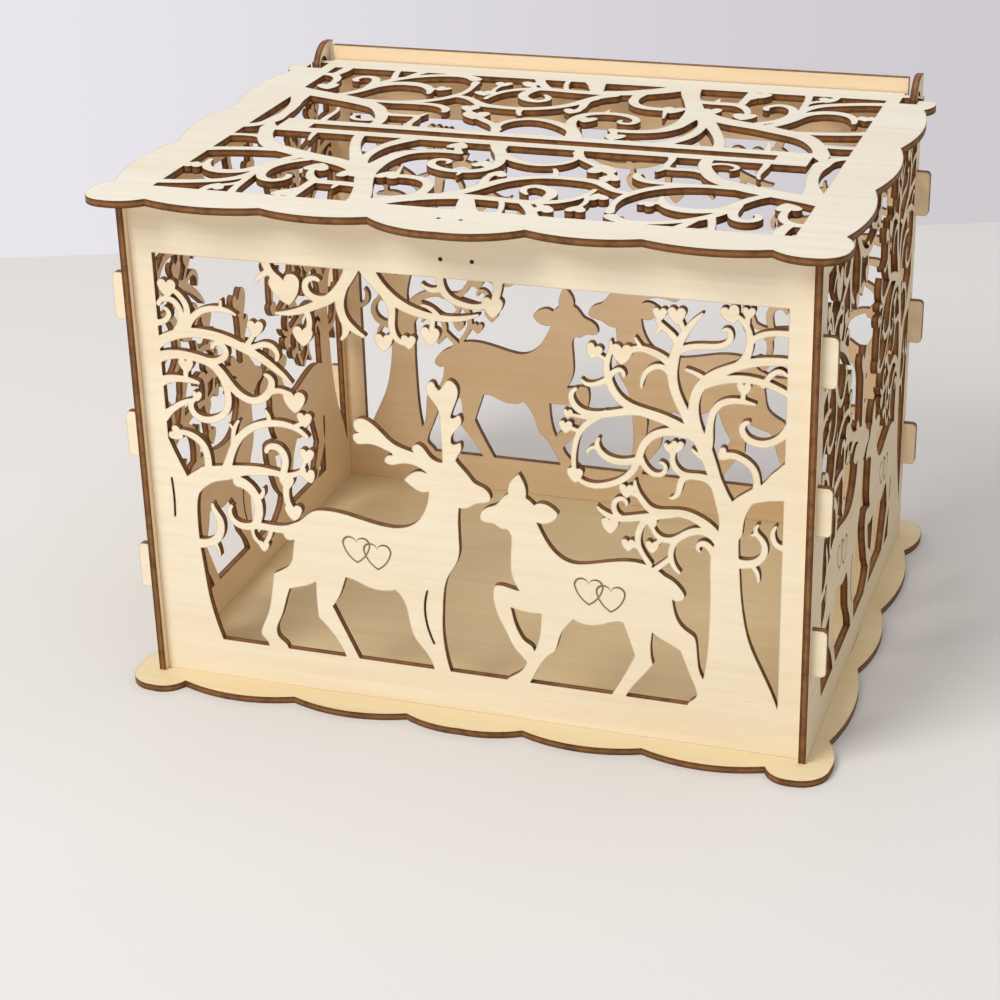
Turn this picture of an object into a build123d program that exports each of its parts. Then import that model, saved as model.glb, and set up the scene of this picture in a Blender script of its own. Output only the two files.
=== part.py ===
"""Laser-cut plywood card box: a base plate, four slotted walls and a hinged lid with a card slot.

Millimetres, +Z up. The origin is the centre of the base plate's underside. The front faces -Y.
Each wall and the lid is drawn flat as (u, v) with u to the right and v upwards, seen from outside,
and is then stood in its place. Fretwork is drawn as strokes: centre-line points with a width each.
"""
from build123d import *
import math
import os

# ---- driving dimensions -------------------------------------------------------------------------
PLY = 3.0                 # plywood thickness
FIT = 0.1                 # clearance all round each tab in its slot
BOX_W = 280.0             # over the outer faces of the side walls
BOX_D = 220.0             # length of the side walls, front to back
WALL_H = 210.0            # height of every wall above the base plate
SET_BACK = 3.0            # front and back walls stand this far inside the side walls' ends
TAB_PROUD = 6.0           # how far the finger tabs stand out of the side walls
TAB_H = 20.0              # finger tab height
TAB_MIDS = (48.0, 108.0, 168.0)          # finger tab centres above the base plate
FOOT_W = 20.0             # tabs that drop into the base plate
FOOT_MID = 65.0           # their distance from the middle, front and back walls
SIDE_FOOT = (-15.0, 8.0)  # the side walls' one foot, along the wall
SCREW_R = 0.8             # pilot holes for a hasp
FRONT_SCREW = (6.3, 195.0)               # their offset and height on the front wall
LID_SCREW = (4.4, -112.5)                # and their place on the lid
ENGRAVE = 0.4             # depth of the engraved hearts

WINDOW_HALF = 127.5       # half the fretwork width, front, back and lid
WINDOW_LOW = 17.5         # foot of the fretwork in the front and back walls
WINDOW_TOP = 187.5        # head of that fretwork
SIDE_WINDOW = (-99.0, 15.5, 101.0, 199.0)        # side wall fretwork: left, low, right, top

STRIP_RISE = 9.5          # back wall's middle strip above the wall tops, behind the lid
STRIP_HALF = 134.5        # half the length of that strip
AXIS_V = 98.0             # hinge axis behind the box's centre
AXIS_LIFT = PLY / 2       # hinge axis above the wall tops, the middle of the lid's thickness
HOLE_R = 4.0              # hinge hole in each ear
HOLE_LIFT = AXIS_LIFT     # its centre above the wall tops, on the axis
PIN_HALF = 2.2            # half the width of a hinge pin, which is as thick as the lid
PIN_END = 142.0           # hinge pins' ends from the middle
EAR_FRONT = 92.5          # ear's front edge, from the box's centre
EAR_TOP = 10.5            # ear above the wall top
LID_BACK = 103.4          # lid's rear edge between the ears, from the box's centre
NOTCH_V = 92.0            # lid's rear edge outside the ears
NOTCH_HALF = 133.5        # half the length of the lid between its ear notches
EAR_NOTCH_V = 86.2        # notch's depth in line with the ears, clear of them as the lid swings
EAR_NOTCH_END = 141.0     # its outer side, from the middle

LID_HALF = 150.0          # half the lid's width
SLOT_HALF = 100.0         # half the card slot's length
SLOT_W = 6.5              # card slot's width
SLOT_V = -5.75            # card slot's centre line, from the box's centre
LID_WINDOW_D = 190.0      # front-to-back size of the lid's fretwork, centred on the slot
SLOT_BAR = 6.0            # bar along each side of the slot
BAR_HALF = 114.0          # half the length of those bars

BASE_Z = PLY              # top of the base plate
LID_Z = BASE_Z + WALL_H   # underside of the lid
INNER = BOX_W / 2 - PLY   # inner face of the side walls
BACK_FACE = BOX_D / 2 - SET_BACK


SAME = (1.0, 0.0, 1.0, 0.0)              # a drawing used as it is: scale and shift, u then v
SIDE_DEER = (1.0, -4.0, 0.955, -1.2)     # the same drawing fitted into the side walls
SIDE_LEFT = (0.95, 22.1, 1.07, -3.2)
SIDE_RIGHT = (0.95, -20.1, 1.07, -3.2)
SIDE_HANGING = (1.0, -4.0, 1.07, -3.2)


# ---- drawing tools ------------------------------------------------------------------------------
def run(points):
    """One stretch of an outline: a line through two points, a smooth curve through more."""
    return Line(*points) if len(points) == 2 else Spline(*points)


def outline(*runs, fit=SAME):
    """A face bounded by stretches that meet at corners; the last one returns to the first point."""
    su, du, sv, dv = fit
    runs = [[(su * u + du, sv * v + dv) for u, v in points] for points in runs]
    edges = []
    last = runs[0][0]
    for points in runs:
        chain = [last] + [p for p in points if p != last]
        edges.append(run(chain))
        last = points[-1]
    if last != runs[0][0]:
        edges.append(Line(last, runs[0][0]))
    return make_face(edges)


def stroke(points):
    """A branch: a tapered band round a smooth line through (u, v, width) points, with round ends."""
    centre = Spline(*[(u, v) for u, v, _ in points])
    chords = [0.0]
    for (u0, v0, _), (u1, v1, _) in zip(points, points[1:]):
        chords.append(chords[-1] + math.hypot(u1 - u0, v1 - v0))
    stops = []
    for i in range(len(points) - 1):
        for part in (0.0, 0.5):
            stops.append((i, part))
    stops.append((len(points) - 2, 1.0))
    left, right = [], []
    for i, part in stops:
        t = (chords[i] + part * (chords[i + 1] - chords[i])) / chords[-1]
        half = (points[i][2] + part * (points[i + 1][2] - points[i][2])) / 2
        at, along = centre @ t, centre % t
        left.append((at.X - along.Y * half, at.Y + along.X * half))
        right.append((at.X + along.Y * half, at.Y - along.X * half))
    head, tail = centre % 1, centre % 0
    tip = centre @ 1 + head * (points[-1][2] / 2)
    root = centre @ 0 - tail * (points[0][2] / 2)
    edges = [
        Spline(*left),
        ThreePointArc(left[-1], (tip.X, tip.Y), right[-1]),
        Spline(*right[::-1]),
        ThreePointArc(right[0], (root.X, root.Y), left[0]),
    ]
    return make_face(edges)


def heart(u, v, size, turn=0.0):
    """A heart leaf with its point down, turned by so many degrees."""
    notch, point = (0, 0.26 * size), (0, -0.52 * size)
    side, lobe = (0.5 * size, 0.14 * size), (0.27 * size, 0.46 * size)
    belly = (0.35 * size, -0.2 * size)
    edges = []
    for sign in (1, -1):
        def at(p, sign=sign):
            return (sign * p[0], p[1])
        edges.append(ThreePointArc(at(notch), at(lobe), at(side)))
        edges.append(ThreePointArc(at(side), at(belly), at(point)))
    return Pos(u, v) * (Rot(0, 0, turn) * make_face(edges))


def slit(points, fit):
    """A knife-thin cut, drawn as a stroke."""
    su, du, sv, dv = fit
    return stroke([(su * u + du, sv * v + dv, 0.9) for u, v in points])


def drawn(strokes, hearts, fit=SAME):
    """Strokes of (u, v, width) and hearts of (u, v, size, turn) as faces, stretched and shifted."""
    su, du, sv, dv = fit
    faces = [stroke([(su * u + du, sv * v + dv, w) for u, v, w in s]) for s in strokes]
    return faces + [heart(su * u + du, sv * v + dv, size, turn) for u, v, size, turn in hearts]


def rect(left, low, right, top):
    """A rectangle given by its edges."""
    return Pos((left + right) / 2, (low + top) / 2) * Rectangle(right - left, top - low)


# ---- the drawing: two trees, hanging branches, a stag and a doe ----------------------------------
LEFT_TREE = [
    # main limb and what grows from its end
    [(-121, 84, 9), (-115.5, 90.5, 8), (-109, 94, 7), (-102, 95.5, 6.5), (-95, 97.2, 4.6),
     (-88, 97.8, 4.2), (-82, 97.9, 3), (-76, 97.4, 2.4), (-71.5, 98.4, 2.4), (-68, 100.8, 2)],
    [(-110.8, 95, 3.6), (-110.4, 101, 3.2), (-112, 106.5, 3.2), (-116, 110, 3), (-121, 111.3, 2.4)],
    [(-97.5, 92, 5), (-93.5, 90.3, 4.4), (-90.7, 87, 4), (-89.4, 82.5, 4), (-89.6, 78, 4),
     (-91, 74, 3.6)],
    [(-90.5, 85.5, 2.6), (-87.8, 86.6, 2.2), (-86.6, 90, 1.4)],
    [(-92, 72.8, 3.4), (-96.5, 72, 3.2), (-100.3, 73.3, 2.8), (-102.4, 76.5, 2.4), (-101.5, 80.5, 1.6)],
    [(-92, 73, 3.4), (-86, 72.8, 3.2), (-81, 72.6, 3.4), (-76, 73.2, 4)],
    [(-92.3, 73.5, 2), (-92.7, 69.5, 1.6), (-91.2, 66.2, 1.8), (-88.8, 64.9, 2)],
    [(-84.5, 72.5, 2.2), (-85.3, 69, 2), (-87.2, 66, 1.8)],
    [(-118.5, 61.8, 4.4), (-113, 62.3, 3.8), (-109, 65, 3.6), (-107.2, 69.5, 3.6),
     (-107.4, 73.8, 3.2), (-109.3, 77.3, 2.6), (-110, 80.2, 1.4)],
    [(-111, 63.5, 2), (-109.3, 60.5, 1.6), (-108.6, 57, 1.2)],
    [(-76, 93.5, 3), (-76.6, 89, 2.8), (-76, 85, 2.8), (-74.3, 82, 3)],
    [(-69.6, 98.8, 2), (-68.5, 102, 2), (-67, 105.5, 2)],
    # the arc over the inner curl
    [(-102.5, 96.5, 4.4), (-100.4, 102.5, 3.4), (-97.4, 109, 3.3), (-93, 114.3, 3.3),
     (-87, 118, 3.2), (-80, 119.7, 3), (-74, 119.5, 2.8), (-69.5, 118, 2.4), (-66, 115.3, 2)],
    [(-70.5, 119.4, 2), (-67.5, 121, 2)],
    [(-82, 119.5, 2.2), (-82, 122.3, 2), (-83.2, 124.8, 1.4)],
    [(-98.6, 106.5, 2.2), (-98.3, 112, 2), (-97.2, 116, 1.8), (-95.4, 119, 1.2)],
    [(-97.5, 114.8, 1.6), (-99.5, 117.2, 1.2)],
    [(-77.4, 97.6, 2.8), (-76.2, 102, 3.2), (-76.5, 106.3, 3.4), (-79, 109.2, 3.2),
     (-82.3, 109.2, 2.6), (-84, 107, 2)],
    # the long S from the frame, its curl and its heart
    [(-129, 143, 4.6), (-120, 145.3, 3.8), (-112, 144.6, 3.5), (-105.5, 142.6, 3.8),
     (-101, 138.5, 3.7), (-97, 133.3, 3.4), (-92, 129.4, 3.2), (-87, 128.6, 3.2), (-82.7, 131, 3.4),
     (-80, 135, 3.2), (-79.8, 138.3, 2.8), (-82, 140.2, 1.8)],
    [(-81.8, 132, 2.8), (-77.5, 134, 2.4), (-73, 133.2, 2.4)],
    [(-106.5, 143.8, 3), (-101.3, 144.8, 2.8), (-98.8, 147.4, 2.8), (-99.6, 150.6, 2.6),
     (-102.5, 151.6, 2.2), (-104.4, 149.8, 1.8)],
    [(-129, 132.5, 4.4), (-122, 134.7, 3.2), (-116, 134.6, 2.6), (-112, 133.9, 1.6)],
    [(-117.3, 134.8, 2.2), (-117, 138.4, 2.2)],
    [(-103.4, 140.5, 3.2), (-100.8, 136.5, 3), (-99.3, 131.3, 3), (-99.3, 126, 3),
     (-101.5, 121.5, 3), (-105.5, 118.8, 3), (-110.5, 118, 3), (-114.5, 119.8, 2.8),
     (-116, 123, 2.6), (-114.3, 126.3, 2)],
    [(-129, 117, 4.5), (-124.5, 121, 2.8), (-120, 124, 2.4), (-115, 125.8, 2.2)],
    # the long arc above it
    [(-129, 148.8, 4.6), (-122, 153, 4.2), (-115, 155, 4.2), (-107, 155.2, 4.1), (-99, 153.9, 4),
     (-92, 151.3, 4), (-85, 148, 3.6), (-79, 144.3, 3), (-74.5, 140.8, 2.4), (-71.3, 137.8, 1.2)],
    [(-91, 152, 2.6), (-86, 151.8, 2.4), (-82, 153.2, 2.6), (-78.5, 152.6, 2.6), (-76.4, 149.8, 2.2),
     (-76.8, 147.2, 1.6)],
    [(-89.5, 152, 2.2), (-86.8, 155.5, 2), (-85.6, 158, 2)],
    # twigs up to the head of the window
    [(-115.5, 155.5, 3.6), (-112.6, 161, 3), (-108, 164.8, 2.8), (-102, 166.3, 2.7), (-97, 166, 2.2),
     (-93.3, 164.6, 1.2)],
    [(-99.5, 166.5, 1.8), (-99.2, 169.8, 1.2)],
    [(-117, 155.5, 3.2), (-114.7, 161, 3), (-114.4, 166, 2.8), (-116.5, 170, 2.5), (-119.8, 172.6, 2.2)],
    [(-119.5, 155.5, 3), (-117.2, 160.5, 2.8), (-117.6, 164.8, 2.8), (-120, 168, 2.6),
     (-123.8, 168.6, 2.4), (-126.4, 166.3, 2)],
    [(-129, 158.6, 2.8), (-124, 159.6, 2.4), (-122.3, 162.4, 2.2), (-124.1, 164.6, 1.6)],
]
LEFT_TREE_HEARTS = [
    (-123.6, 110.3, 6.5, 60), (-88.2, 64, 5, 0), (-76, 94.2, 6.5, 0), (-73.8, 81, 7.5, 0),
    (-66.4, 107, 6.5, 0), (-66, 98, 6, 20), (-66.4, 122.6, 6.5, 0), (-63.6, 112.8, 5, 30),
    (-70.3, 130, 9.5, 0), (-116.7, 140.8, 6.5, 0), (-112.9, 128, 4.5, 0), (-85, 159.6, 7, 0),
    (-122.3, 173.2, 8, 0),
]

HANGING_BRANCHES = [
    [(-42, 190, 6), (-46.5, 181.5, 4.6), (-51.5, 175.8, 4.2), (-58, 172, 3.6), (-65, 169, 3),
     (-71, 167.4, 2.2), (-75.6, 166.9, 1.2)],
    [(-47.5, 178.5, 3.2), (-52.5, 175.2, 3.2), (-58, 174.4, 3.2), (-62, 177, 3), (-62.3, 180.6, 2.6),
     (-59.5, 182.8, 2.2), (-57, 182.2, 1.8)],
    [(-79, 190, 4), (-77.6, 184.5, 3.4), (-74, 181, 3.4)],
    [(-77.8, 183.8, 2.6), (-81, 181.8, 2.4), (-83.5, 179.4, 1.6)],
    [(-63, 169.5, 2.8), (-61.6, 164.5, 2.4), (-62.8, 160, 2.4)],
    [(-42.5, 188, 5), (-46.8, 180.5, 4.2), (-48.5, 173, 3.7), (-47.2, 167.5, 3.4), (-43.5, 163.4, 2.8),
     (-39.3, 160.8, 1.6)],
    [(-47.4, 167, 3.2), (-46.4, 162.5, 3), (-48.4, 158.8, 1.4)],
    [(-37.5, 190, 6.5), (-33, 183.2, 5), (-28, 178.2, 4.4), (-21, 174, 3.8), (-13, 171.8, 3.1),
     (-5, 171.2, 2.7), (2, 172, 2.2), (8, 173.8, 1.2)],
    [(-29, 178, 4), (-27, 171, 3), (-27.2, 165, 2.8), (-25.2, 160.8, 2.4), (-22, 159.6, 2.2)],
    [(-27, 162.5, 2.4), (-29, 160.4, 2.4)],
    [(-10.2, 171, 2), (-10.8, 166.5, 2.2)],
    [(-7, 190, 3.8), (-6.3, 183.8, 3), (-3.5, 179.8, 2.8), (1, 177.8, 2.6), (6, 177, 2.4),
     (11, 178, 2.4)],
    [(-7, 183, 2.4), (-10.5, 182.3, 2.2), (-14.3, 184.3, 1.2)],
    [(-8, 172, 2), (-10.8, 174.6, 1.8), (-14.5, 175.8, 1.2)],
    [(16.2, 190, 4.4), (15.8, 183, 3.2), (14.6, 179, 3)],
]
HANGING_HEARTS = [
    (-71, 177.3, 13, 10), (-64.8, 158.4, 8.5, 0), (-31, 159, 7.5, 0), (-20.6, 160.2, 6, 0),
    (-11.7, 163.4, 8, 0), (13.9, 177.6, 8.5, 0),
]

RIGHT_TREE = [
    # the two limbs of the fork
    [(107.4, 96, 9.4), (106.3, 103, 8), (103.5, 110, 6), (101, 117, 4.8), (98.4, 124.5, 5.4),
     (95.5, 132, 6)],
    [(107.8, 98, 9), (110, 105, 7.5), (114.5, 110.5, 5.4), (120, 113.2, 7), (126, 116.5, 12),
     (131, 120, 14)],
    # up the middle and out to the right
    [(95.6, 131, 5.4), (93, 139, 4.4), (92.5, 147, 4), (95, 154, 4), (100, 158.8, 4),
     (106.5, 162.2, 3.6), (113, 164.8, 3.6), (120, 166.3, 3.4), (129, 166.6, 3.2)],
    [(96, 154.5, 3.4), (103, 157.2, 3.2), (110, 158.4, 3.2), (117, 158, 3), (123, 156.3, 2.6),
     (129, 153.5, 2.4)],
    [(118.5, 156.5, 2.2), (121.5, 161, 2.2), (124.5, 162.8, 2), (127, 161.6, 1.4)],
    [(97.9, 130, 4), (98.6, 138, 3), (99.6, 143.3, 2.8), (102.4, 147.4, 2.8), (106.8, 149.3, 2.6),
     (111.5, 149.4, 2.2), (115.6, 148.8, 1.2)],
    [(111, 149.6, 2), (111.3, 153.2, 1.8)],
    [(129, 141, 4), (124.8, 135.8, 3), (120, 133.4, 3), (115.5, 133.5, 3), (112, 135.8, 2.8),
     (111, 139, 2.4), (113.2, 141.3, 1.8)],
    [(116.6, 112, 3.4), (117, 118.5, 2.8), (115.3, 123, 2.8), (111.5, 126, 2.8), (107.5, 127.2, 2.8),
     (104, 126.5, 2)],
    # the upright branch with its side twigs
    [(92.5, 135, 4.6), (88.5, 143.5, 3.8), (85.5, 150, 3.8), (84.1, 157, 3.9), (84.6, 163.5, 4),
     (86, 169, 3.6), (88.8, 174.5, 3), (92, 179, 2.4), (95.2, 182.5, 1.2)],
    [(84.4, 160, 3.6), (80.5, 163.8, 3), (76, 165.8, 2.8), (71.5, 166.6, 2.6), (67.3, 165, 2.4)],
    [(72.3, 166.6, 2), (69.8, 170.6, 1.2)],
    [(83.5, 157, 2.8), (79, 160.2, 2.4), (75.3, 158.8, 2.2), (73, 155.5, 2), (72.2, 151.3, 1.2)],
    [(85.8, 168.5, 2.8), (83.5, 173.5, 2.6), (80.5, 176, 2.4), (78.4, 178.4, 2)],
    [(79.6, 176.3, 1.8), (77.7, 172.8, 1.2)],
    [(89, 174, 2.2), (87, 178.6, 2.2)],
    [(86, 166.5, 3), (91.5, 169.2, 2.6), (97.5, 170, 2.4), (103, 170.9, 2.4), (105.9, 173.8, 2.4),
     (105.3, 177, 2), (103.2, 176.8, 1.5)],
    [(97, 156.5, 2.4), (93.5, 158.6, 2), (89.5, 160, 1.4)],
    [(108.5, 163, 3.6), (112.3, 168, 3.2), (113.3, 173.5, 2.8), (112.3, 178.5, 2.4), (109, 182.3, 2.2)],
    [(112, 179.5, 2.2), (112.3, 183.5, 2)],
    [(113.2, 172.5, 2.6), (116.5, 175.8, 2.4), (121, 177.3, 2.4), (129, 177.6, 2.8)],
    # the branch to the upper left
    [(96, 132, 5.4), (89.5, 135.3, 4.6), (82.5, 138.6, 4.1), (75.5, 140.6, 3.9), (69, 142.3, 3.7),
     (64, 145.2, 3.4), (60.7, 149.5, 3.2), (59, 154.5, 3), (58.7, 159.5, 2.4), (60, 164, 2),
     (60.3, 168.4, 1.2)],
    [(60, 152, 2.4), (61.5, 156.3, 2.2), (64, 157.3, 2), (65.4, 155, 1.5)],
    [(58.8, 160.5, 1.8), (55.5, 162.5, 1.6)],
    [(59.4, 153.2, 2.6), (55, 150.8, 2.2), (51, 150.3, 1.8), (48.8, 151.8, 1.2)],
    [(71, 141.2, 3.4), (62, 139.6, 3.1), (55, 138.2, 3), (49, 138.8, 2.8), (45.4, 141.8, 2.6),
     (44.6, 145.2, 2.2), (46.5, 147.8, 1.5)],
    [(58.4, 139.2, 2.7), (51.5, 134.6, 2.6), (47.6, 129.8, 2.4), (45.8, 124, 2.2), (45.3, 117.3, 2),
     (45.6, 113.5, 2)],
    [(47.8, 130.5, 1.8), (44, 131.5, 1.8)],
    [(51, 136.5, 1.8), (46.5, 136.8, 1.6), (44, 137.2, 1.6)],
    # the branch to the lower left
    [(89, 134, 4), (81, 133.8, 3.4), (76, 131.3, 3.2), (72.7, 126.8, 3), (71, 121.5, 3),
     (68.8, 116.5, 2.8), (64.5, 112.2, 2.6), (58.5, 109.3, 2.6), (52.5, 108.4, 2.4), (47.5, 110.2, 2)],
    [(71.4, 121.5, 3), (66, 119.8, 3), (60.5, 120, 3), (56.5, 122.3, 2.6), (54.8, 125.3, 2.2),
     (55.4, 128.3, 1.4)],
    [(56.8, 122, 2), (53, 124.4, 1.6), (50.8, 122.3, 1.2)],
    [(72, 122, 2.6), (74.8, 117.5, 2.4), (78, 115.9, 2.2), (81, 117, 2), (81.6, 119.8, 1.8),
     (79.6, 121.2, 1.3)],
    [(100.5, 114.5, 3.6), (94, 117, 3), (88.5, 117.3, 2.8), (85.3, 120, 2.6), (84.4, 124, 2.2),
     (86, 127.6, 2)],
    [(84.6, 125, 1.8), (83, 127, 1.8)],
    [(98, 124.5, 2.2), (94.3, 126, 2), (92, 128, 1.2)],
    [(90, 116.5, 2.8), (87.4, 112.3, 2.6), (86.5, 108.8, 2.2), (83.8, 106.8, 1.3)],
    # the low branches over the doe
    [(104, 88.5, 4.8), (99.8, 95.3, 4.2), (94.5, 99, 3.7), (88, 100.8, 3.4), (81.5, 100.3, 3.2),
     (76, 101, 3), (72.3, 104.8, 2.6), (70, 109.3, 2.2), (69.8, 112.2, 1.2)],
    [(85, 100.2, 3.2), (76.5, 98.2, 3.2), (69, 96.5, 3), (62, 95.7, 2.7), (57.5, 97.2, 2.2),
     (54.8, 99.5, 1.2)],
    [(63.8, 96.4, 2.4), (61.4, 99.5, 2.4), (62, 103, 2.2), (64.8, 104.2, 2), (66.4, 102, 1.5)],
    [(71.2, 106.2, 2), (68, 107, 1.8)],
    [(61.3, 95.5, 2.2), (60.2, 93.5, 2.2)],
    [(78, 98.2, 3.2), (73, 94.8, 2.8), (71.1, 90, 2.6), (71.1, 85.5, 2.4), (73, 81.3, 2.2),
     (75.6, 77.5, 2.4)],
    [(71.3, 84.5, 2), (68.5, 84.8, 1.8)],
    [(102.5, 91, 4), (96, 94.3, 3.2), (91, 93, 3), (87, 90.3, 2.8), (83, 88.8, 2.6), (79.5, 89.5, 2.4),
     (77.2, 92, 2), (76.3, 94.8, 1.8)],
    [(88.5, 91.3, 2.8), (84.9, 87, 2.5), (84, 82.5, 2.4), (85, 78.5, 2.2), (87.3, 75.6, 1.6)],
    [(80.5, 89, 2), (78, 86.5, 2)],
    [(84.2, 81.5, 2.2), (81, 78.4, 2.2), (78.3, 76, 2.4)],
    [(101.5, 83.5, 3.4), (99.6, 87.5, 3), (96.8, 89.2, 2.6), (94.8, 88, 2), (95.4, 85.8, 1.2)],
    # twigs right of the trunk
    [(109, 83, 4.4), (115.5, 83, 3.4), (119.3, 85.5, 3), (120.8, 89.5, 2.6), (119.6, 93.5, 2.4),
     (117.3, 96.3, 2), (118, 99.6, 1.2)],
    [(117.8, 95.8, 1.8), (115.6, 95.2, 1.2)],
    [(115.2, 82.8, 2.2), (118, 79.5, 1.8), (118.6, 75.8, 1.2)],
    [(129, 91.5, 2.8), (125, 92.5, 2.4), (123.7, 95.6, 2.2), (124.8, 99.8, 1.2)],
]
RIGHT_TREE_HEARTS = [
    (111.4, 154.6, 5.5, 0), (104.2, 127.2, 5.5, -40), (64.6, 163.8, 8.5, 0), (79.2, 181, 5.5, 0),
    (85.6, 181, 7, 0), (105.9, 183.3, 7.5, 20), (112.6, 184.4, 5, 0), (53.6, 163.8, 6.5, -20),
    (42.3, 131.8, 5.5, 0), (43.2, 137.4, 4, 0), (45.8, 112, 6.5, 0), (86.4, 128.6, 5, 0),
    (82.8, 127.8, 4, 0), (66.4, 107.8, 6, 0), (59.7, 92.2, 7, 0), (67, 84.8, 5.5, 0),
    (76.4, 95, 4.5, 0), (76.6, 85.2, 5.5, 0),
]


def stag(fit):
    """A stag that faces right: its outline, less the gaps between its legs."""
    body = outline(
        # rump, back and neck
        [(-79, 70), (-77.5, 74.5), (-72, 77.3), (-69.5, 79.3), (-65.5, 82.5), (-59, 83.7), (-52, 83.2),
         (-45, 81.7), (-38, 80.3), (-30, 79.7), (-24.5, 80.9), (-20, 84), (-17, 88.5), (-15.4, 93),
         (-14.8, 97.6)],
        # ear
        [(-18, 97), (-21.5, 98.6), (-25, 101.3)],
        [(-22, 104.6), (-18.5, 106), (-14.6, 104.8)],
        # lower tine, then the long left beam
        [(-18, 107.4), (-22.5, 108.6), (-27, 108.1), (-30.6, 107.3), (-32.9, 108.6), (-32.2, 110.6),
         (-29.4, 111.3)],
        [(-29.8, 112.5)],
        [(-33, 113.8), (-36.5, 115), (-40.5, 115.2), (-44.4, 115), (-46, 117.3), (-43, 119.7)],
        [(-45.3, 121.6), (-45.2, 124.4), (-42.2, 126), (-37.8, 124.4), (-33.5, 120.6), (-29.5, 117),
         (-25.5, 115.2), (-20.2, 113.8)],
        [(-21, 116), (-19, 117.5), (-16.4, 116.2), (-13.8, 112.8), (-11.6, 111.3), (-8.5, 110.9)],
        # upright beam and its two lobes
        [(-8.5, 116), (-8.8, 123), (-9, 129), (-9.6, 133.5), (-12, 137), (-14.1, 140.3), (-14, 143.3),
         (-12.2, 144.7), (-10.2, 142.6)],
        [(-8.9, 141.4)],
        [(-7, 143.8), (-4.8, 146), (-2.3, 144.8), (-1.1, 141.5), (-1.8, 138), (-3.2, 134.5),
         (-4.5, 130.5)],
        [(-2.8, 130.6), (-1, 131.8), (0, 130), (-0.7, 127.2), (-3, 124.5), (-4.5, 119.6)],
        [(-2.6, 119.4), (-0.9, 120.1), (-0.4, 117.8), (-1.6, 115), (-3, 112.3)],
        # face
        [(-0.8, 109.6), (2, 106.6), (4.4, 103.7), (8, 102.1), (10.6, 99.6), (10.9, 97), (8.6, 95.4),
         (5.4, 94.8), (2.4, 93), (-2.3, 92)],
        # throat, chest and foreleg
        [(-2.8, 85), (-2.7, 78), (-2.8, 72), (-4.3, 67), (-7.6, 61.5), (-9.6, 55.5), (-10.6, 46),
         (-11, 37), (-10.4, 28), (-7.8, 16)],
        [(-15.1, 16)],
        [(-16.5, 21), (-19.6, 26), (-23.2, 30.6), (-25, 36), (-26, 42), (-27.4, 47), (-31, 51.7)],
        # belly and hind leg
        [(-37.5, 50.5), (-43, 51.4), (-47.8, 53.4), (-52.5, 54.5)],
        [(-54, 50), (-56, 45), (-59, 40.4)],
        [(-47.6, 16)],
        [(-53.6, 16)],
        [(-57.6, 24.5), (-61.4, 29.8), (-65.7, 34.4)],
        [(-66, 42), (-65.9, 50.7)],
        [(-70, 48.4), (-74, 47.1), (-78, 45.8)],
        [(-80, 40), (-82.4, 32.5), (-85, 25.4), (-84.2, 22.3), (-81.8, 20.2), (-80.4, 16)],
        [(-89.8, 16)],
        [(-90.2, 20.2), (-92.1, 22.4), (-91.6, 25.8), (-88.6, 32.5), (-86.6, 40), (-85.5, 46.5),
         (-84.6, 52)],
        [(-80, 54.6), (-76.9, 57.4), (-75.4, 62), (-74.3, 68.9)],
        [(-77, 68.2), (-79, 70)],
        fit=fit,
    )
    return body - slit([(-17, 53), (-18.3, 42), (-17, 35), (-15, 29.5)], fit)


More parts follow.
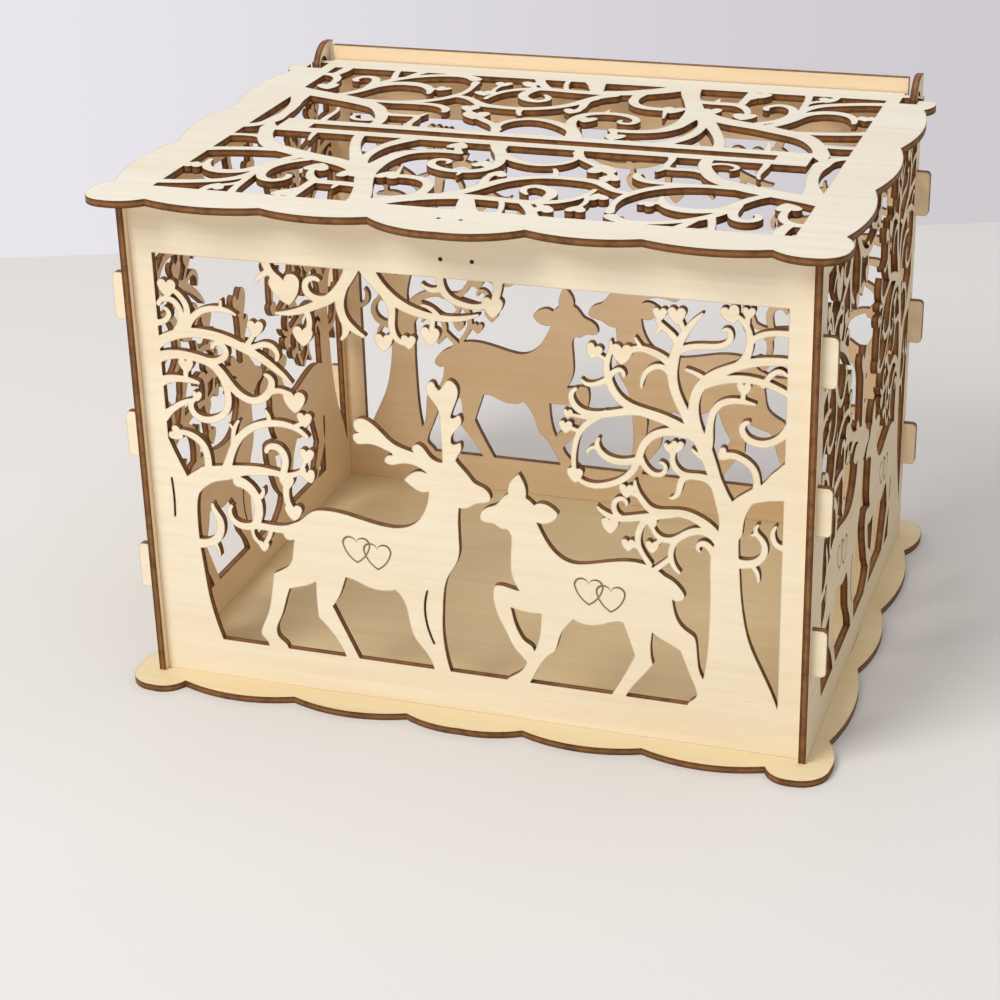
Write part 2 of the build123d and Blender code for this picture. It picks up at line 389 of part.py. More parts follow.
def doe(fit):
    """A doe that faces left with one foreleg raised."""
    body = outline(
        # nose to ears
        [(6.6, 88), (7, 91.2), (10, 93.9), (13.2, 95.3), (15.4, 98), (18.4, 100.6)],
        [(18.8, 104.6), (20.4, 107.3), (22.9, 109.8)],
        [(24.6, 106.9), (25.7, 103.4), (25.6, 99.8)],
        [(27.4, 98.6), (29, 97)],
        [(31.6, 98.2), (34.6, 97.7), (38.7, 94.4)],
        [(36.9, 91.3), (33.6, 89.6), (29.8, 89.8)],
        # back, tail and haunch
        [(32.4, 84.3), (35.8, 79), (40, 75.3), (44.5, 73.8), (50, 74.2), (56, 75.6), (62.5, 77.1),
         (69, 77.8), (77, 76.3), (81.5, 73.3)],
        [(85, 71.5), (88.2, 68.4), (89.6, 64.6), (87.2, 62.9), (84.8, 63.6)],
        [(85.6, 58.5), (87.7, 53.3), (91, 50.2), (93.6, 48.4), (94.7, 44.6), (95.1, 40), (97.6, 30)],
        [(99, 16)],
        [(91.4, 16)],
        [(92.6, 19.4), (94.9, 21.8), (94.7, 24.8), (92.4, 30.5), (90.2, 36.2), (88.3, 41.2)],
        [(84, 43.6), (80, 45.6), (76.8, 47.8)],
        [(76.2, 42.5), (76.3, 37.5), (77.2, 33.5)],
        [(74.6, 29.8), (71.6, 26), (65.5, 16)],
        [(59.4, 16)],
        [(62.6, 21.8), (66.2, 28.8), (69.8, 36.4)],
        [(68.2, 41), (66.5, 46), (65, 50.4)],
        [(60.4, 50.1), (56, 48.3), (51.5, 47.3), (44.4, 49)],
        [(41, 44.8), (38.9, 41), (37.8, 37), (36.3, 33)],
        [(32.6, 29.6), (30.2, 26), (25, 16)],
        # standing foreleg's hoof and the raised foreleg
        [(15, 16)],
        [(18.4, 19.5), (21.2, 21.4), (23.2, 23.7), (24.6, 26.8)],
        [(21.8, 29.8), (19.2, 33), (16.4, 39), (13.6, 44.6), (11.8, 49.6), (11, 55.5), (11.8, 59.5)],
        [(15, 60), (18.8, 59.2), (22.2, 58.6)],
        # chest and throat
        [(20, 62.6), (18.8, 67.4), (18.8, 72.6), (19.2, 78.5), (18.6, 84), (17.2, 85.2)],
        [(14.2, 85.6), (12.4, 86.8), (9.2, 87), (6.6, 88)],
        fit=fit,
    )
    gap = outline(
        [(18.4, 50.8), (22, 49.8), (26.5, 49.4), (31.2, 49.6)],
        [(30.6, 41.5), (29.5, 36), (27.8, 32)],
        [(26.6, 34.6), (24, 36.2), (22, 38.9), (20.2, 43), (18.4, 50.8)],
        fit=fit,
    )
    return body - gap


def left_trunk(low, fit):
    """The left tree's trunk, which grows out of the frame."""
    return outline(
        [(-130, low), (-109.3, low)],
        [(-112.6, 26), (-114.9, 37), (-116.2, 50), (-117.2, 62), (-117.3, 72), (-116.8, 80),
         (-114.5, 86.5), (-110, 92), (-112.6, 97.2)],
        [(-116.4, 94.6), (-120, 91)],
        [(-124, 99.5), (-127.5, 108)],
        [(-130, 108)],
        fit=fit,
    )


def right_trunk(low, fit):
    """The right tree's trunk, with the root that runs out to the frame."""
    return outline(
        [(97, low), (97.6, 30)],
        [(99.1, 42), (99.7, 56), (99.8, 72), (100.2, 86), (103.2, 96), (103, 104)],
        [(112.8, 102)],
        [(111.2, 97), (110.7, 88), (111.3, 78), (112, 68), (113.2, 59), (115.2, 50), (119.3, 40),
         (127.5, 21)],
        [(130, low)],
        fit=fit,
    )


def wall_art(deer, left, right, hanging):
    """Everything inside a wall's window, as a list of faces."""
    faces = drawn(LEFT_TREE, LEFT_TREE_HEARTS, left) + drawn(RIGHT_TREE, RIGHT_TREE_HEARTS, right)
    faces += drawn(HANGING_BRANCHES, HANGING_HEARTS, hanging)
    return faces + [stag(deer), doe(deer), left_trunk(15, left), right_trunk(15, right)]


def hearts_engraved(deer):
    """A pair of linked heart outlines on each deer's flank."""
    su, du, sv, dv = deer
    lines = []
    for u, v in ((-47, 68), (-38, 66), (51, 62.5), (60, 60.5)):
        lines.append(heart(su * u + du, sv * v + dv, 12) - heart(su * u + du, sv * v + dv, 10.8))
    return lines


# ---- the lid's drawing: its rear half, measured from the side walls' front ends -------------------
LID_ART = [
    # left: the limb, its arcs and curl
    [(-130, 159, 9), (-118, 154, 9), (-104, 149.5, 9), (-92, 144.5, 8), (-84, 139, 6.5),
     (-79, 131.5, 6), (-75.5, 123, 5.5), (-74.5, 112, 5)],
    [(-96, 147.5, 5), (-85, 148, 4), (-75, 149, 5), (-66, 153.5, 4.5), (-60, 159, 4), (-56.5, 164.5, 4),
     (-54.3, 171, 3), (-54, 180, 2.6), (-55, 188, 4)],
    [(-76, 148.5, 4), (-66, 148.5, 3.5), (-58, 147, 4), (-53.5, 143, 4), (-52.5, 138.5, 3)],
    [(-108, 154, 4), (-102, 161, 4.4), (-98.5, 169, 4.5), (-96.5, 177, 4.5), (-92, 185, 4.4),
     (-84, 192, 4.2), (-74, 196.5, 4.2), (-64, 197.5, 5), (-57, 193, 6)],
    [(-98.5, 168, 4.5), (-95, 174.5, 5.5), (-89, 178.5, 5.5), (-82, 179.2, 6), (-75.5, 177, 5),
     (-71.3, 172, 4), (-69.5, 165.5, 2.2)],
    [(-71.5, 173, 3), (-66, 173.5, 3)],
    [(-99.5, 168, 4), (-99.6, 175, 4), (-100.5, 181.5, 4), (-104, 186, 3.8), (-108.3, 185.8, 3.6),
     (-110.3, 181.8, 3.4), (-108.8, 178.4, 2.8)],
    [(-130, 186, 4), (-124.5, 186.5, 4.4), (-120, 182.5, 4), (-118.2, 176.5, 3.5), (-118.5, 169, 3)],
    [(-121.5, 203, 5), (-121.3, 195, 5), (-123, 187, 4.5)],
    [(-97, 203, 3), (-95.6, 194, 3), (-93.5, 186, 3.4)],
    [(-83, 203, 5), (-86, 196, 4), (-88.5, 189, 3)],
    [(-124, 150, 9), (-121.5, 139, 5.5), (-119.5, 129, 5), (-119, 120, 5), (-119.5, 110, 7),
     (-122, 103, 5), (-130, 98, 5)],
    [(-98, 112, 3.4), (-98.5, 120, 2.8), (-98.2, 127, 2.2), (-99.8, 134, 1.4)],
    [(-77, 120, 3), (-81.5, 117.8, 2.6), (-86, 118.7, 2.6), (-88.3, 122, 2.4), (-86.8, 125.2, 1.8)],
    [(-76, 130, 4), (-68, 128.7, 3.6), (-61.8, 128.5, 3.4), (-60.6, 121, 3), (-58.6, 112, 3.4)],
    [(-61, 128.5, 3), (-58.8, 133.5, 1.8)],
    # the middle: trunk, bowl and curls
    [(41, 205, 10), (31, 194, 9), (20, 187.5, 8), (9, 184, 7), (-2, 182.8, 5.5), (-12, 183.5, 5),
     (-21, 184, 5), (-30, 182, 4.5), (-36.5, 177.5, 3.5), (-40.3, 171, 3), (-42, 163, 2.4)],
    [(-57, 163.5, 3.5), (-51, 162.5, 3.8), (-45, 157.5, 4.2), (-39.5, 152.6, 5), (-32, 151, 4.5),
     (-24, 150.5, 4.5), (-16, 152, 4.5), (-9, 155.5, 4.5), (-3.5, 160.5, 4.8), (0.5, 167, 5),
     (4.5, 174.5, 5), (11, 181, 6)],
    [(-25, 182, 4.6), (-27.6, 175.5, 5), (-26.6, 169, 4.6), (-22.4, 164.8, 4.4), (-17.6, 164.2, 4),
     (-15.2, 167.6, 3.4), (-16.2, 171.8, 2.8), (-18.2, 174.4, 1.8)],
    [(-30, 205, 6), (-27, 196, 4.4), (-21, 186, 4)],
    [(-15, 204, 3), (-14.6, 195, 2.4), (-12, 186, 2.4)],
    [(-4, 206, 13), (-1, 196, 8), (2, 186, 6)],
    [(-41, 171, 2.6), (-43, 178, 2.2), (-42.2, 185, 2.2)],
    [(-27, 186, 3), (-30, 190, 3)],
    [(-40, 152.5, 4), (-43.5, 147, 3), (-42, 141, 3), (-37, 135, 4), (-31, 129, 3.6), (-26.5, 125, 3.4),
     (-22, 117, 4), (-21, 112, 4)],
    [(-21, 117, 3.4), (-22.6, 126, 3.2), (-19, 132.6, 3.4), (-12, 136, 3.5), (-4, 134.5, 4),
     (3, 130, 4.6), (8.5, 124.5, 5), (12, 118, 6), (14, 111, 7)],
    [(-21.5, 150, 3.4), (-21, 145, 2.6), (-19, 140.5, 1.8)],
    [(5, 173, 4), (2.6, 165, 4), (3.4, 158, 3.4), (1.5, 152, 3)],
    [(23, 190, 7), (21.6, 179, 4.6), (23.2, 170.5, 4.4), (28, 165.3, 4.4), (35, 163.6, 4.4),
     (41.5, 164, 4)],
    [(39.5, 163, 2.6), (40.6, 156, 1.8), (41.6, 150, 1)],
    [(13, 111, 8), (9, 125, 4.8), (5.8, 134, 4.5), (5.6, 142, 4.5), (9, 148.6, 4.4), (15, 151.6, 4),
     (22, 151.6, 4), (28, 149, 4), (31.6, 144, 3.6), (30.4, 138.8, 3.2), (26.6, 138.6, 2.8),
     (25.2, 142.4, 2)],
    [(16, 152, 2.4), (16, 157, 1.2)],
    [(25.5, 127.5, 3.4), (28, 122, 3), (29, 116, 3.4)],
    # right of the trunk
    [(41, 206, 10), (43, 192, 8.5), (47, 179, 7.4), (51, 167, 8), (52.4, 156, 8), (51.5, 146, 6.6),
     (49.3, 137.5, 6.4), (44.5, 131, 5.4), (37.5, 127.8, 4.8), (30, 127, 4.4), (25, 128, 3)],
    [(54, 164, 10), (59, 153, 8), (63.2, 145, 6), (67, 137, 5), (71, 127, 4.6), (73.6, 118, 4.6),
     (74.5, 110, 5)],
    [(58.6, 152, 5), (60.4, 142, 4), (60.4, 133, 4.4), (58.4, 124.5, 5), (54, 116.5, 6), (50, 110, 8)],
    [(54, 163, 9), (64, 154, 8), (74, 149.3, 8), (84, 146, 8), (94, 141.3, 7.6), (103, 137, 8),
     (110, 129, 7), (114.3, 120, 6.5), (117, 110, 7), (118.5, 104, 3)],
    [(99, 140.6, 5), (109, 141.8, 4.6), (119, 143.6, 4.6), (130, 147, 5)],
    [(112, 125, 4), (120, 123.4, 3.2), (130, 125, 3.6)],
    [(86, 147, 5), (91.5, 154, 5), (95.5, 162, 5), (98.6, 169, 5), (104, 173.4, 5), (110.5, 174.4, 5),
     (116.3, 171.8, 4.4), (119.6, 166.5, 3.4), (120.6, 160.5, 2.2)],
    [(119, 168, 3), (124, 167.5, 3), (130, 168, 3)],
    [(96, 168, 4), (97, 177, 4.6), (102, 184, 4.5), (110, 188.2, 4.5), (118, 190.8, 4.5), (130, 193, 5)],
    [(82, 151, 4), (88.6, 157, 3.6), (92.4, 164.5, 3.8), (92.6, 172.5, 4), (89.8, 179, 4),
     (84.6, 181.3, 3.8), (80.8, 178, 3.4), (81, 173, 2.6)],
    [(47.5, 180, 5), (54, 178.6, 5), (60.5, 178.4, 4.8), (66.5, 178, 4.8), (71, 174, 4), (74, 167.5, 3),
     (74.8, 161, 2.4)],
    [(69, 204, 4), (69, 192, 4), (68.4, 178, 4)],
    [(68.5, 187, 3), (73.5, 194, 3), (74, 204, 2.4)],
    [(92.5, 204, 4), (94.8, 194, 3.2), (95.4, 184, 3), (96.5, 175, 4)],
    [(95.5, 184, 3), (98.5, 190, 3), (103.5, 193, 3), (103.5, 204, 4)],
    [(57.5, 180, 3), (57.6, 185, 1.4)],
    [(94.6, 112, 3), (93.8, 119, 2.2), (92.4, 125, 1.2)],
]
LID_HEARTS = [
    (-66, 174.4, 7, -20), (-118, 166.6, 10, 20), (-42, 187.6, 8, 0), (-30, 190.6, 9, 0),
    (-45.6, 171.4, 8.5, 20), (-43.6, 146.2, 8.5, 0), (-37.4, 136, 12, 10), (0.8, 151.8, 8, 0),
    (42.4, 163.4, 10, 0), (10.8, 140.4, 8.5, 0), (29.2, 117.8, 9, 0), (74, 160, 10.5, 0),
    (74, 195, 8.5, 0), (103.2, 194.2, 8.5, 0), (59, 165.5, 9, 20), (124.3, 168.6, 7.5, 0),
]


# ---- flat shapes --------------------------------------------------------------------------------
def scalloped(cusps_u, edge_v, lobes_v, cusps_v, edge_u, lobe_u, corner_v, corner_r):
    """One quarter of a scalloped edge, front right: from the middle of the front to the last cusp."""
    edges = []
    at = (0.0, lobes_v[0])
    for i, cusp in enumerate(cusps_u):
        to = (cusp, edge_v)
        before = -cusp if i == 0 else cusps_u[i - 1]
        middle = (before + cusp) / 2 if i else cusp * 0.6
        dip = lobes_v[i] if i else lobes_v[0] * 0.76 + edge_v * 0.24
        edges.append(ThreePointArc(at, (middle, dip), to))
        at = to
    start = (lobe_u - corner_r - 2, corner_v)
    end = (lobe_u, corner_v + corner_r + 2)
    reach = (corner_r + 2) * (1 - math.sqrt(0.5))
    edges.append(Spline(at, ((at[0] * 2 + start[0]) / 3, corner_v + 1.6), start))
    edges.append(ThreePointArc(start, (lobe_u - reach, corner_v + reach), end))
    edges.append(Spline(end, (lobe_u - 1.2, (end[1] + 2 * cusps_v[0]) / 3), (edge_u, cusps_v[0])))
    at = (edge_u, cusps_v[0])
    for cusp in cusps_v[1:]:
        edges.append(ThreePointArc(at, (lobe_u, (at[1] + cusp) / 2), (edge_u, cusp)))
        at = (edge_u, cusp)
    return edges, at


def mirrored_face(edges):
    """The face inside a right-hand edge from top to bottom and its mirror image."""
    return make_face(edges + [e.mirror(Plane.YZ) for e in edges])


def base_shape():
    """Base plate with a scallop all round, less the slots for the walls' feet."""
    front, at = scalloped((25, 75, 125), -116, (-121.5, -121, -121), (-90, -28), 145.5, 150, -123, 10)
    back = [e.mirror(Plane.XZ) for e in front]
    side = [ThreePointArc(at, (150, 0), (at[0], -at[1]))]
    shape = mirrored_face(front + side + back)
    for mid in (-FOOT_MID, FOOT_MID):
        for face in (-BACK_FACE, BACK_FACE - PLY):
            shape -= rect(mid - FOOT_W / 2 - FIT, face - FIT, mid + FOOT_W / 2 + FIT, face + PLY + FIT)
    for side_u in (-BOX_W / 2, BOX_W / 2 - PLY):
        shape -= rect(side_u - FIT, SIDE_FOOT[0] - FIT, side_u + PLY + FIT, SIDE_FOOT[1] + FIT)
    return shape


def end_wall(strip):
    """Front or back wall: finger tabs, feet and fretwork; the back has a strip behind the lid."""
    shape = rect(-INNER, 0, INNER, WALL_H)
    for mid in TAB_MIDS:
        shape += Pos(0, mid) * RectangleRounded(BOX_W + 2 * TAB_PROUD, TAB_H, 2)
    for mid in (-FOOT_MID, FOOT_MID):
        shape += rect(mid - FOOT_W / 2, -PLY, mid + FOOT_W / 2, PLY)
    if strip:
        shape += rect(-STRIP_HALF, PLY, STRIP_HALF, WALL_H + STRIP_RISE)
    window = rect(-WINDOW_HALF, WINDOW_LOW, WINDOW_HALF, WINDOW_TOP)
    art = fused(wall_art(SAME, SAME, SAME, SAME)) & window
    shape = shape - window + art - slit([(-127.6, 90), (-127.2, 81), (-127.6, 73)], SAME)
    if not strip:
        for sign in (-1, 1):
            shape -= Pos(sign * FRONT_SCREW[0], FRONT_SCREW[1]) * Circle(SCREW_R)
    return shape


def side_wall():
    """Side wall seen from outside with its front at the left: slots, a foot, an ear and fretwork."""
    half = BOX_D / 2
    ear = make_face([
        Line((EAR_FRONT, WALL_H - 1), (EAR_FRONT, WALL_H + 3)),
        ThreePointArc((EAR_FRONT, WALL_H + 3), (97.5, WALL_H + 8.8), (half - 2, WALL_H + EAR_TOP)),
        Line((half - 2, WALL_H + EAR_TOP), (half, WALL_H + EAR_TOP)),
        Line((half, WALL_H + EAR_TOP), (half, WALL_H - 1)),
        Line((half, WALL_H - 1), (EAR_FRONT, WALL_H - 1)),
    ])
    shape = rect(-half, 0, half, WALL_H) + rect(SIDE_FOOT[0], -PLY, SIDE_FOOT[1], PLY) + ear
    window = rect(*SIDE_WINDOW)
    art = fused(wall_art(SIDE_DEER, SIDE_LEFT, SIDE_RIGHT, SIDE_HANGING)) & window
    shape = shape - window + art - Pos(AXIS_V, WALL_H + HOLE_LIFT) * Circle(HOLE_R)
    for mid in TAB_MIDS:
        for face in (-BACK_FACE, BACK_FACE - PLY):
            shape -= rect(face - FIT, mid - TAB_H / 2 - FIT, face + PLY + FIT, mid + TAB_H / 2 + FIT)
    return shape


def lid_shape():
    """Lid: a scalloped front and sides, ear notches, flat hinge pins, a card slot and fretwork."""
    front, at = scalloped((31, 75, 123), -117.5, (-128, -122, -122), (-97, -39, 19, 78), 145.5, 150,
                          -123, 9)
    rear = [
        Spline(at, (149, (at[1] + NOTCH_V) / 2), (148, NOTCH_V)),
        Line((148, NOTCH_V), (EAR_NOTCH_END, NOTCH_V)),
        Line((EAR_NOTCH_END, NOTCH_V), (EAR_NOTCH_END, EAR_NOTCH_V)),
        Line((EAR_NOTCH_END, EAR_NOTCH_V), (NOTCH_HALF, EAR_NOTCH_V)),
        Line((NOTCH_HALF, EAR_NOTCH_V), (NOTCH_HALF, LID_BACK)),
        Line((NOTCH_HALF, LID_BACK), (0, LID_BACK)),
    ]
    shape = mirrored_face(front + rear)
    shape += rect(-PIN_END, AXIS_V - PIN_HALF, PIN_END, AXIS_V + PIN_HALF)
    half = LID_WINDOW_D / 2
    window = Pos(0, SLOT_V) * rect(-WINDOW_HALF, -half, WINDOW_HALF, half)
    bar = SLOT_W / 2 + SLOT_BAR
    rear_half = drawn(LID_ART, LID_HEARTS, (1.0, 0.0, 1.0, -BOX_D / 2 - SLOT_V))
    art = rear_half + [Rot(0, 0, 180) * face for face in rear_half] + [rect(-BAR_HALF, -bar, BAR_HALF, bar)]
    shape = shape - window + (Pos(0, SLOT_V) * fused(art) & window)
    shape -= Pos(0, SLOT_V) * Rectangle(2 * SLOT_HALF, SLOT_W)
    for sign in (-1, 1):
        shape -= Pos(sign * LID_SCREW[0], LID_SCREW[1]) * Circle(SCREW_R)
    return shape


def fused(faces):
    """Many overlapping flat shapes made into one."""
    return faces[0] + faces[1:]


# ---- plates -------------------------------------------------------------------------------------
def plate(shape, place, engraving=()):
    """A flat shape cut from ply, its outer face on the plane given; slivers left loose are dropped."""
    faces = sorted(shape.faces(), key=lambda face: face.area)
    solid = extrude(place * faces[-1], -PLY)
    for line in engraving:
        solid -= extrude(place * line, -ENGRAVE)
    return max(solid.solids(), key=lambda piece: piece.volume)


def main():
    """Cut every piece, stand it in its place and write it out."""
    front = Plane(origin=(0, -BACK_FACE, BASE_Z), x_dir=(1, 0, 0), z_dir=(0, -1, 0))
    back = Plane(origin=(0, BACK_FACE, BASE_Z), x_dir=(-1, 0, 0), z_dir=(0, 1, 0))
    right = Plane(origin=(BOX_W / 2, 0, BASE_Z), x_dir=(0, 1, 0), z_dir=(1, 0, 0))
    pieces = {
        "base_plate": plate(base_shape(), Plane.XY.offset(BASE_Z)),
        "front_panel": plate(end_wall(False), front, hearts_engraved(SAME)),
        "back_panel": plate(end_wall(True), back),
        "right_panel": plate(side_wall(), right, hearts_engraved(SIDE_DEER)),
        "lid": plate(lid_shape(), Plane.XY.offset(LID_Z + PLY)),
    }
    pieces["left_panel"] = mirror(pieces["right_panel"], Plane.YZ)
    os.makedirs("parts", exist_ok=True)
    for name, solid in pieces.items():
        solid.label = name
        export_step(solid, os.path.join("parts", name + ".step"))


main()
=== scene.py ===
"""Looks of the plywood card box: birch faces, laser-scorched cut edges, pale floor and soft light."""
import math

import bpy
from mathutils import Matrix, Vector

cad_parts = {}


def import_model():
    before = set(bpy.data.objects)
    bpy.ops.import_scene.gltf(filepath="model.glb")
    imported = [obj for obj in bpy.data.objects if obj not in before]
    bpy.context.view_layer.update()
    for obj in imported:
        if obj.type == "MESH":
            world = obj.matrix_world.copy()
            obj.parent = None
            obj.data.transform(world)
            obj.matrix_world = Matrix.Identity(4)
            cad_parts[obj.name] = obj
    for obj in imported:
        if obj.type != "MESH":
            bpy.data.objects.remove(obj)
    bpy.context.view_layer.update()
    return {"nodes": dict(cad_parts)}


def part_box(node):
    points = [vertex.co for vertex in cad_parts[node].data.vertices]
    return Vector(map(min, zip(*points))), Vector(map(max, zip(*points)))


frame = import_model()
X, Y, Z = 0, 1, 2

# ---- camera (metres and degrees) --------------------------------------------------------------
CAMERA_AT = (0.2833, -0.8844, 0.4801)   # the photograph's viewpoint in the model's frame
CAMERA_YAW = -19.04                     # turned left of straight ahead (+Y)
CAMERA_PITCH = 24.77                    # looking down
CAMERA_ROLL = 1.50
CAMERA_LENS = 83.19                     # millimetres on a 36 mm frame
SENSOR = 36.0

# ---- wood (linear colour) ---------------------------------------------------------------------
CLEAR_FACE = (0.91, 0.81, 0.62)         # outer veneer, front and back
LID_FACE = (0.70, 0.665, 0.57)          # outer veneer, lid
SHADED_SIDE_FACE = (0.79, 0.67, 0.46)          # outer veneer, side walls, darker and more saturated as painted shade
WARM_FACE = (0.74, 0.62, 0.39)          # base plate's top
SHADED_INNER_FACE = (0.90, 0.72, 0.49)         # inner veneer, a little warmer, made tan and darker as painted shade inside the box
SCORCH_DARK = (0.026, 0.009, 0.003)     # outermost, most burnt part of a cut edge
SCORCH_MID = (0.17, 0.066, 0.018)       # the burnt plies
SCORCH_LIGHT = (0.27, 0.12, 0.036)      # the core ply
ENGRAVED = (0.42, 0.26, 0.13)           # floor of the engraved lines
STREAK_TINT = (0.93, 0.86, 0.74)        # each tint multiplies the veneer where its noise is strong
FIGURE_TINT = (0.94, 0.90, 0.83)
FLECK_TINT = (0.86, 0.74, 0.58)
STREAKS = (260.0, 9.0)                  # noise stretch across and along the grain
FIGURE = (26.0, 3.5)
FLECKS = (900.0, 90.0)
SOOT_SCALE = 220.0
HALO_REACH = 0.0009                     # how far the scorch creeps on to a face from its cut edge
HALO_STRENGTH = 0.55
SUNK_FROM = 0.00015                     # depth below the face at which engraving starts to show
SUNK_TO = 0.0003
BUMP_STRENGTH = 0.12
BUMP_HEIGHT = 0.0002
WOOD_ROUGH = 0.62
WOOD_SHINE = 0.25
PLY = 0.003

# ---- stage (metres, linear colour) ------------------------------------------------------------
FLOOR_COLOUR = (0.665, 0.65, 0.63)
FLOOR_ROUGH = 0.9
FLOOR_SHINE = 0.1
STAGE_HALF = 3.0                        # half the floor's length
FLOOR_END = 0.555                       # floor's rear edge behind the box's centre
FLOOR_TURN = 0.38                       # how much further back that edge runs per metre to the right
GLOW_LEFT = (0.82, 0.80, 0.85)          # the backdrop lights itself, so its distance doesn't matter
GLOW_RIGHT = (0.62, 0.59, 0.62)
GLOW_FROM = -2.2                        # where along X the left colour starts to fade
GLOW_TO = 0.0                           # where the right colour is reached
BACKDROP_AT = 3.0                       # backdrop behind the box's centre, past every viewpoint
BACKDROP_LOW = -3.0                     # it shows over the floor's edge, down to here
BACKDROP_HIGH = 4.0
LIGHTS_AIM = (0.0, 0.0, 0.10)
LIGHTS = (                              # name, place, size, power, colour
    ("key", (-0.9, -1.5, 1.9), 1.2, 44.0, (1.0, 0.97, 0.93)),
    ("top", (0.2, 0.0, 2.2), 1.8, 15.0, (1.0, 0.99, 0.98)),
    ("right", (2.0, -0.5, 1.2), 1.6, 0.6, (0.95, 0.97, 1.0)),
)
WORLD_COLOUR = (0.95, 0.95, 1.0, 1.0)
WORLD_POWER = 0.48


# ---- shader building --------------------------------------------------------------------------
class Shader:
    """A material's node tree with short calls for the nodes used here."""

    def __init__(self, name):
        self.material = bpy.data.materials.new(name)
        self.material.use_nodes = True
        self.tree = self.material.node_tree
        self.tree.nodes.clear()

    def node(self, kind, **settings):
        """A new node with its settings."""
        made = self.tree.nodes.new(kind)
        for key, value in settings.items():
            setattr(made, key, value)
        return made

    def feed(self, socket, value):
        """Links a socket to an output, or sets it to a constant."""
        if isinstance(value, bpy.types.NodeSocket):
            self.tree.links.new(value, socket)
        elif isinstance(value, tuple) and len(value) == 3 and socket.type == "RGBA":
            socket.default_value = value + (1.0,)
        else:
            socket.default_value = value

    def math(self, operation, a, b=0.0):
        """One arithmetic step."""
        made = self.node("ShaderNodeMath", operation=operation)
        self.feed(made.inputs[0], a)
        self.feed(made.inputs[1], b)
        return made.outputs[0]

    def spread(self, value, low, high, to_low=0.0, to_high=1.0):
        """Maps low..high to to_low..to_high, clamped and smooth."""
        made = self.node("ShaderNodeMapRange", interpolation_type="SMOOTHSTEP")
        for socket, given in zip(made.inputs, (value, low, high, to_low, to_high)):
            self.feed(socket, given)
        return made.outputs[0]

    def mix(self, factor, a, b, blend="MIX"):
        """Mixes two colours."""
        made = self.node("ShaderNodeMix", data_type="RGBA", blend_type=blend)
        self.feed(made.inputs["Factor"], factor)
        self.feed(made.inputs[6], a)
        self.feed(made.inputs[7], b)
        return made.outputs[2]

    def noise(self, where, stretch, scale, detail, rough):
        """Noise over a position stretched by three factors."""
        bent = self.node("ShaderNodeVectorMath", operation="MULTIPLY")
        self.feed(bent.inputs[0], where)
        self.feed(bent.inputs[1], stretch)
        made = self.node("ShaderNodeTexNoise")
        self.feed(made.inputs["Vector"], bent.outputs[0])
        self.feed(made.inputs["Scale"], scale)
        self.feed(made.inputs["Detail"], detail)
        self.feed(made.inputs["Roughness"], rough)
        return made.outputs[0]

    def split(self, vector):
        """The three parts of a vector."""
        made = self.node("ShaderNodeSeparateXYZ")
        self.feed(made.inputs[0], vector)
        return made.outputs

    def finish(self, surface):
        """Ends the tree in a surface and returns the material."""
        out = self.node("ShaderNodeOutputMaterial")
        self.feed(out.inputs[0], surface.outputs[0])
        return self.material


def along(grain, stretch):
    """Stretch factors for grain that runs along one axis, from (across, along)."""
    return tuple(stretch[1] if i == grain else stretch[0] for i in range(3))


# ---- plywood ----------------------------------------------------------------------------------
def bare_veneer(s, where, streaks, facing, outer, shaded_inner, grain):
    """Face colour: outer veneer, or inner veneer darkened as painted shade, with streaks, broad figure
    and faint flecks.
    """
    figure = s.noise(where, along(grain, FIGURE), 1.0, 3.0, 0.5)
    flecks = s.noise(where, along(grain, FLECKS), 1.0, 2.0, 0.5)
    # inside faces take the inner colour, which is darkened as painted shade
    veneer = s.mix(s.math("LESS_THAN", facing, 0.0), outer, shaded_inner)
    veneer = s.mix(s.spread(streaks, 0.35, 0.75, 0.0, 0.55), veneer, STREAK_TINT, "MULTIPLY")
    veneer = s.mix(s.spread(figure, 0.35, 0.7, 0.0, 0.6), veneer, FIGURE_TINT, "MULTIPLY")
    return s.mix(s.spread(flecks, 0.66, 0.78, 0.0, 0.35), veneer, FLECK_TINT, "MULTIPLY")


def scorch_halo(s):
    """How close a point on a face is to a cut edge, from 0 to 1."""
    bevel = s.node("ShaderNodeBevel", samples=6)
    s.feed(bevel.inputs["Radius"], HALO_REACH)
    true_normal = s.node("ShaderNodeNewGeometry")
    turned = s.node("ShaderNodeVectorMath", operation="DOT_PRODUCT")
    s.feed(turned.inputs[0], bevel.outputs[0])
    s.feed(turned.inputs[1], true_normal.outputs["Normal"])
    return s.spread(turned.outputs["Value"], 0.80, 0.995, 1.0, 0.0)


def burnt_edge(s, where, depth):
    """Cut edge colour: burnt plies with a lighter core and near-black rims."""
    middle = s.math("ABSOLUTE", s.math("SUBTRACT", s.math("DIVIDE", depth, PLY), 0.5))
    soot = s.noise(where, (1.0, 1.0, 1.0), SOOT_SCALE, 4.0, 0.6)
    burnt = s.mix(s.spread(middle, 0.14, 0.19, 1.0, 0.0), SCORCH_MID, SCORCH_LIGHT)
    burnt = s.mix(s.spread(middle, 0.36, 0.49, 0.0, 0.85), burnt, SCORCH_DARK)
    return s.mix(s.spread(soot, 0.4, 0.75, 0.0, 0.6), burnt, SCORCH_DARK)


